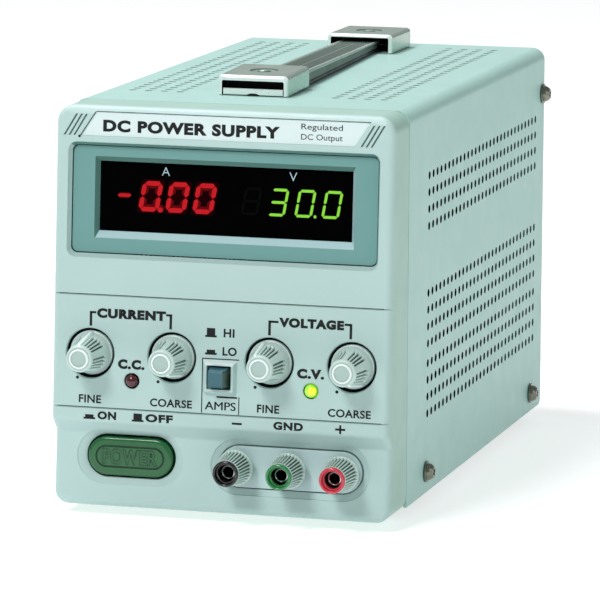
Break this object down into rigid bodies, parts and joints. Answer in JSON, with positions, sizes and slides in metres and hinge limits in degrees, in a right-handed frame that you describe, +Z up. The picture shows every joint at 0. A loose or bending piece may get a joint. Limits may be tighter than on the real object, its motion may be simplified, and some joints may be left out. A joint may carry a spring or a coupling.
{
  "type": "bench power supply",
  "caption": "Bench power supply: steel case, moulded front bezel with dark display window, knobs, push buttons, binding posts, strap handle on top and finned heat sink at the rear.",
  "frame": {"origin": "centre of the bounding box at the height of the feet", "axes": "+X to the right seen from the front, -Y towards the user, +Z up"},
  "size_m": [0.1346, 0.283, 0.1592],
  "materials": {
    "case_paint": "fine satin powder coat",
    "zinc_steel": "plated sheet",
    "bezel_plastic": "fine texture",
    "terminal_plastic": "satin",
    "teal_plastic": "satin",
    "dark_window": "polished",
    "circuit_board": "solder mask",
    "red_lens": "clear lens",
    "green_lens": "clear lens, lit",
    "green_plastic": "moulded",
    "blue_plastic": "moulded",
    "black_plastic": "moulded",
    "black_anodised": "anodised",
    "core_steel": "laminated",
    "winding_tape": "wrapped tape over copper",
    "capacitor_sleeve": "shrink sleeve",
    "red_plastic": "moulded",
    "chrome_plate": "bright",
    "strap_vinyl": "ribbed vinyl over a steel band",
    "knob_plastic": "satin",
    "nickel_plate": "bright",
    "black_insulator": "moulded",
    "green_insulator": "moulded",
    "red_insulator": "moulded",
    "foot_rubber": "matt"
  },
  "bodies": {
    "root": {"cover": "case_paint", "base_pan": "zinc_steel", "rear_panel": "case_paint", "front_bezel": "bezel_plastic", "terminal_plate": "terminal_plastic", "display_frame": "teal_plastic", "display_window": "dark_window", "display_module": "circuit_board", "main_board": "circuit_board", "cc_led": "red_lens", "cv_led": "green_lens", "power_switch": "black_plastic", "range_switch": "black_plastic", "heat_sink": "black_anodised", "power_transistor": "zinc_steel", "transformer_core": "core_steel", "transformer_winding": "winding_tape", "filter_capacitor": "capacitor_sleeve", "power_inlet": "black_plastic", "voltage_selector": "black_plastic", "front_handle_cap": "chrome_plate", "rear_handle_cap": "chrome_plate", "front_strap_anchor": "chrome_plate", "rear_strap_anchor": "chrome_plate", "current_fine_potentiometer": "black_plastic", "current_coarse_potentiometer": "black_plastic", "voltage_fine_potentiometer": "black_plastic", "voltage_coarse_potentiometer": "black_plastic", "negative_post_stud": "nickel_plate", "ground_post_stud": "nickel_plate", "positive_post_stud": "nickel_plate", "foot_front_left": "foot_rubber", "foot_rear_left": "foot_rubber", "cover_screw_front_low_left": "nickel_plate", "cover_screw_rear_low_left": "nickel_plate", "cover_screw_rear_top_left": "nickel_plate", "foot_front_right": "foot_rubber", "foot_rear_right": "foot_rubber", "cover_screw_front_low_right": "nickel_plate", "cover_screw_rear_low_right": "nickel_plate", "cover_screw_rear_top_right": "nickel_plate"},
    "current_fine_knob": {"current_fine_knob": "knob_plastic"},
    "current_coarse_knob": {"current_coarse_knob": "knob_plastic"},
    "voltage_fine_knob": {"voltage_fine_knob": "knob_plastic"},
    "voltage_coarse_knob": {"voltage_coarse_knob": "knob_plastic"},
    "power_button": {"power_button": "green_plastic"},
    "range_button": {"range_button": "blue_plastic"},
    "negative_washer": {"negative_post_washer": "nickel_plate"},
    "negative_cap": {"negative_post_cap": "knob_plastic", "negative_post_ring": "black_insulator"},
    "ground_washer": {"ground_post_washer": "nickel_plate"},
    "ground_cap": {"ground_post_cap": "knob_plastic", "ground_post_ring": "green_insulator"},
    "positive_washer": {"positive_post_washer": "nickel_plate"},
    "positive_cap": {"positive_post_cap": "knob_plastic", "positive_post_ring": "red_insulator"},
    "strap_front": {"handle_strap_front": "strap_vinyl"},
    "strap_rear": {"handle_strap_rear": "strap_vinyl"},
    "fuse_drawer": {"fuse_drawer": "black_plastic"},
    "selector_slide": {"selector_slide": "red_plastic"}
  },
  "joints": [
    {"name": "current_fine_turn", "type": "hinge", "parent": "root", "child": "current_fine_knob", "pos_m": [-0.0493, -0.1295, 0.061], "axis": [0, 1, 0], "range_deg": [-150, 150]},
    {"name": "current_coarse_turn", "type": "hinge", "parent": "root", "child": "current_coarse_knob", "pos_m": [-0.018, -0.1295, 0.061], "axis": [0, 1, 0], "range_deg": [-300, 0]},
    {"name": "voltage_fine_turn", "type": "hinge", "parent": "root", "child": "voltage_fine_knob", "pos_m": [0.019, -0.1295, 0.061], "axis": [0, 1, 0], "range_deg": [-131, 169]},
    {"name": "voltage_coarse_turn", "type": "hinge", "parent": "root", "child": "voltage_coarse_knob", "pos_m": [0.05, -0.1295, 0.061], "axis": [0, 1, 0], "range_deg": [-300, 0]},
    {"name": "power_button_press", "type": "slide", "parent": "root", "child": "power_button", "axis": [0, -1, 0], "range_m": [0, 0.0035]},
    {"name": "range_button_press", "type": "slide", "parent": "root", "child": "range_button", "axis": [0, 1, 0], "range_m": [0, 0.0035]},
    {"name": "negative_post_travel", "type": "slide", "parent": "root", "child": "negative_washer", "axis": [0, -1, 0], "range_m": [0, 0.005]},
    {"name": "negative_post_turn", "type": "hinge", "parent": "negative_washer", "child": "negative_cap", "pos_m": [0.0065, -0.1315, 0.0218], "axis": [0, -1, 0], "range_deg": [0, 1800]},
    {"name": "ground_post_travel", "type": "slide", "parent": "root", "child": "ground_washer", "axis": [0, -1, 0], "range_m": [0, 0.005]},
    {"name": "ground_post_turn", "type": "hinge", "parent": "ground_washer", "child": "ground_cap", "pos_m": [0.0265, -0.1315, 0.0218], "axis": [0, -1, 0], "range_deg": [0, 1800]},
    {"name": "positive_post_travel", "type": "slide", "parent": "root", "child": "positive_washer", "axis": [0, -1, 0], "range_m": [0, 0.005]},
    {"name": "positive_post_turn", "type": "hinge", "parent": "positive_washer", "child": "positive_cap", "pos_m": [0.0465, -0.1315, 0.0218], "axis": [0, -1, 0], "range_deg": [0, 1800]},
    {"name": "handle_lift", "type": "hinge", "parent": "root", "child": "strap_front", "pos_m": [-0.0021, -0.048, 0.15415], "axis": [1, 0, 0], "range_deg": [0, 18], "stiffness_Nm_per_rad": 0.4},
    {"name": "strap_bend", "type": "hinge", "parent": "strap_front", "child": "strap_rear", "pos_m": [-0.0021, 0.0162, 0.1521], "axis": [1, 0, 0], "range_deg": [-36, 0]},
    {"name": "fuse_drawer_slide", "type": "slide", "parent": "root", "child": "fuse_drawer", "axis": [0, 1, 0], "range_m": [0, 0.016]},
    {"name": "voltage_select", "type": "slide", "parent": "root", "child": "selector_slide", "axis": [1, 0, 0], "range_m": [0, 0.0055]}
  ],
  "couplings": [
    {"joint": "negative_post_turn", "follows": "negative_post_travel", "rad_per_m": 6283.2},
    {"joint": "ground_post_turn", "follows": "ground_post_travel", "rad_per_m": 6283.2},
    {"joint": "positive_post_turn", "follows": "positive_post_travel", "rad_per_m": 6283.2},
    {"joint": "strap_bend", "follows": "handle_lift", "ratio": -2}
  ]
}
